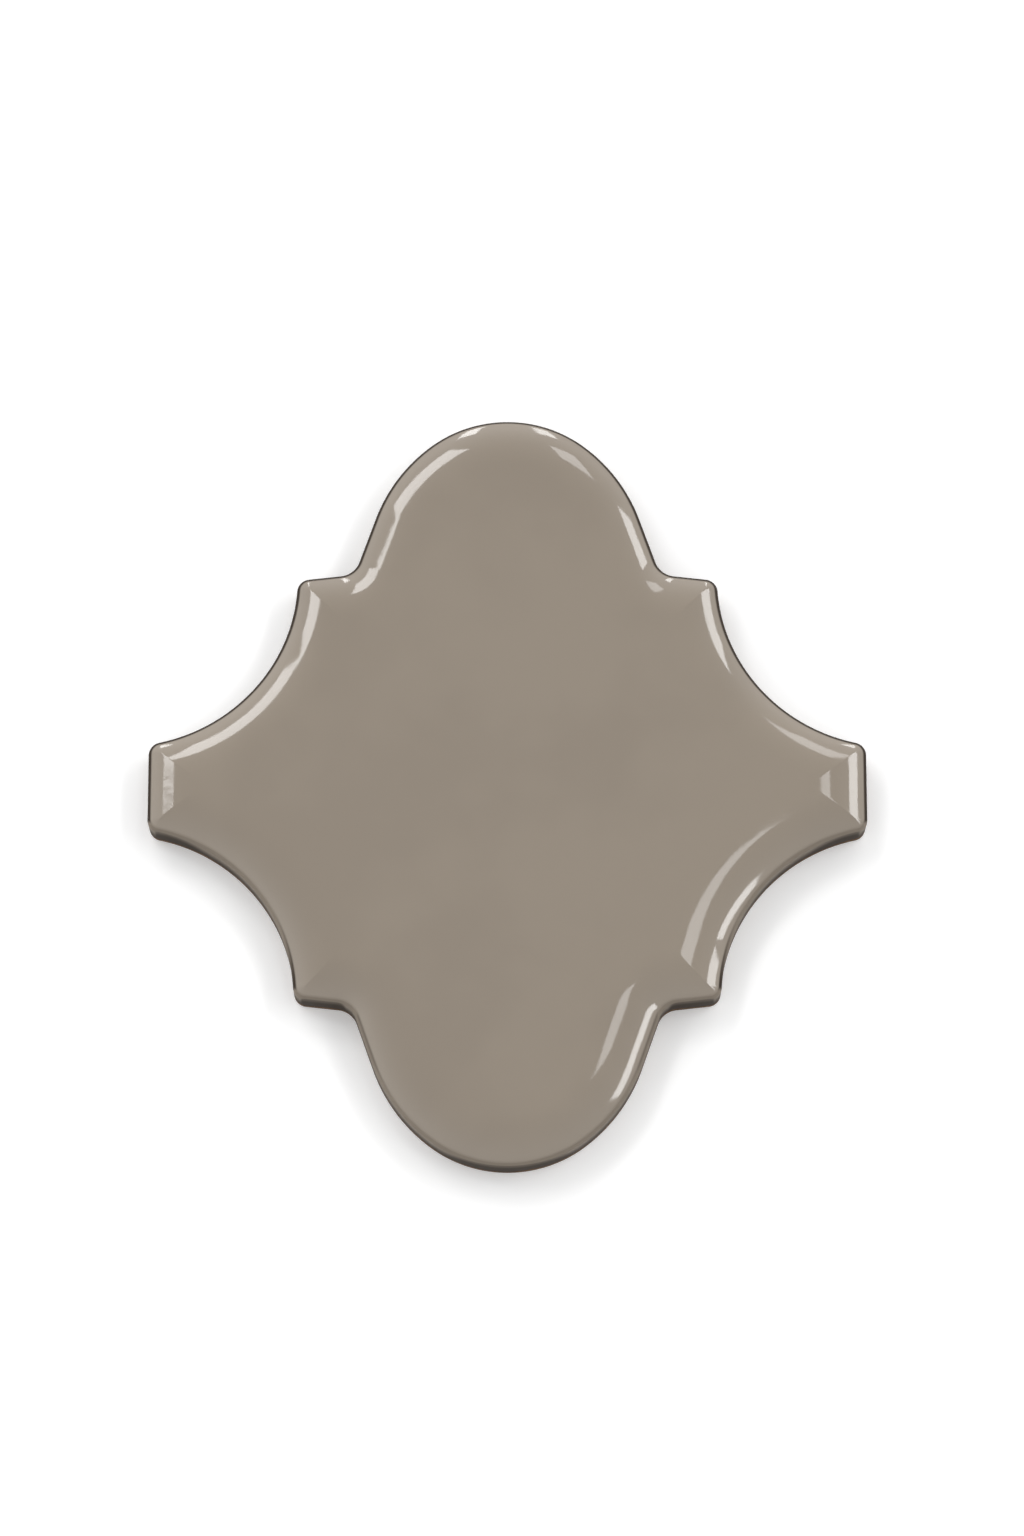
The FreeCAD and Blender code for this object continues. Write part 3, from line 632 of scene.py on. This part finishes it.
# Softboxes that hang level over the tile. For each metre of height: how far to the side and to the top, and
# the size across and along. Then the turn in degrees and the brightness.
SOFTBOXES = {
    "left_box": {"side": -0.47, "top": 0.84, "across": 0.46, "along": 0.32, "turn": 42.0, "glow": 4.9},
    "left_low_box": {"side": -0.634, "top": 0.4485, "across": 0.26, "along": 0.30, "turn": -8.0, "glow": 4.9},
    "right_box": {"side": 0.825, "top": 0.42, "across": 0.26, "along": 0.68, "turn": 8.0, "glow": 5.2},
    "low_right_box": {"side": 0.75, "top": -0.12, "across": 0.16, "along": 0.30, "turn": -14.0, "glow": 6.0},
    "top_right_fill": {"side": 0.36, "top": 0.92, "across": 0.20, "along": 0.26, "turn": 0.0, "glow": 2.8},
    "overhead_box": {"side": 0.235, "top": 0.19, "across": 0.18, "along": 0.21, "turn": 25.0, "glow": 2.8},
    "top_left_strip": {"side": -0.36, "top": 1.80, "across": 0.18, "along": 0.60, "turn": 0.0, "glow": 7.0},
    "top_right_strip": {"side": 0.36, "top": 1.80, "across": 0.18, "along": 0.60, "turn": 0.0, "glow": 6.0},
}
LIGHT_HEIGHT = 2.6
WATTS_PER_GLOW = 4.0

# The white surround: dim where the flat face mirrors it, bright around that, less so to the lower right.
SURROUND = {
    "dim": 0.18,
    "bright": 0.80,
    "dim_way": (0.0, 0.25, 0.97),
    "spread": 0.27,
    "curve": 1.6,
    "share_way": (-0.40, 0.92, 0.0),
    "share_span": 0.7,
    "lower_share": 0.50,
    "upper_share": 1.46,
}


def make_lights():
    """Level softboxes over the tile, which show as strips in the glaze."""
    for name, box in SOFTBOXES.items():
        lamp = bpy.data.lights.new(name, "AREA")
        lamp.shape = "RECTANGLE"
        lamp.size = box["across"] * LIGHT_HEIGHT
        lamp.size_y = box["along"] * LIGHT_HEIGHT
        lamp.energy = box["glow"] * lamp.size * lamp.size_y * WATTS_PER_GLOW
        holder = bpy.data.objects.new(name, lamp)
        place = Vector((box["side"], box["top"], 1.0)) * LIGHT_HEIGHT
        holder.matrix_world = Matrix.Translation(place) @ Matrix.Rotation(math.radians(box["turn"]), 4, "Z")
        bpy.context.scene.collection.objects.link(holder)


def make_surround():
    """A white room that lights the tile softly from all sides."""
    world = bpy.data.worlds.new("studio")
    world.use_nodes = True
    tree = world.node_tree
    way = add_node(tree, "ShaderNodeTexCoord").outputs["Generated"]
    along = add_node(tree, "ShaderNodeVectorMath", {"operation": "DOT_PRODUCT"},
                     {0: way, 1: SURROUND["dim_way"]}).outputs["Value"]
    away = add_node(tree, "ShaderNodeMapRange", None,
                    {"Value": along, "From Min": 1.0, "From Max": 1.0 - SURROUND["spread"]}).outputs[0]
    across = add_node(tree, "ShaderNodeVectorMath", {"operation": "DOT_PRODUCT"},
                      {0: way, 1: SURROUND["share_way"]}).outputs["Value"]
    span = SURROUND["share_span"]
    share = add_node(tree, "ShaderNodeMapRange", None,
                     {"Value": across, "From Min": -span, "From Max": span,
                      "To Min": SURROUND["lower_share"], "To Max": SURROUND["upper_share"]}).outputs[0]
    glow = calc(tree, "MULTIPLY", calc(tree, "POWER", away, SURROUND["curve"]), share)
    glow = calc(tree, "MULTIPLY", glow, SURROUND["bright"])
    strength = calc(tree, "ADD", glow, SURROUND["dim"])
    walls = tree.nodes["Background"]
    walls.inputs["Color"].default_value = (1, 1, 1, 1)
    tree.links.new(strength, walls.inputs["Strength"])
    bpy.context.scene.world = world


# Distance in millimetres, tilt in radians, and where the tile's middle lies in the image, in pixels.
IMAGE_WIDTH, IMAGE_HEIGHT = 1024, 1536
CAMERA = {"tilt": 0.25, "distance": 845.0, "pixels_per_mm": 6.05, "middle_x": 507.4, "middle_y": 796.6}


def make_camera():
    """Looks down on the tile, a little from the side of the lower lobe."""
    distance = CAMERA["distance"] * MM
    tilt = CAMERA["tilt"]
    lens = bpy.data.cameras.new("camera")
    lens.sensor_fit = "VERTICAL"
    lens.sensor_height = 36.0
    focal_pixels = CAMERA["pixels_per_mm"] * CAMERA["distance"]
    lens.lens = focal_pixels * lens.sensor_height / IMAGE_HEIGHT
    lens.shift_x = (IMAGE_WIDTH / 2 - CAMERA["middle_x"]) / IMAGE_HEIGHT
    lens.shift_y = (CAMERA["middle_y"] - IMAGE_HEIGHT / 2) / IMAGE_HEIGHT
    lens.clip_start = 0.01
    holder = bpy.data.objects.new("camera", lens)
    place = Vector((0, -math.sin(tilt), math.cos(tilt))) * distance
    holder.matrix_world = Matrix.Translation(place) @ Matrix.Rotation(tilt, 4, "X")
    bpy.context.scene.collection.objects.link(holder)
    bpy.context.scene.camera = holder


tile = make_tile(glaze_finish())
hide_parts("tile")
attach(tile, "root")
make_floor()
make_lights()
make_surround()
make_camera()
bpy.context.scene.view_settings.view_transform = "Standard"
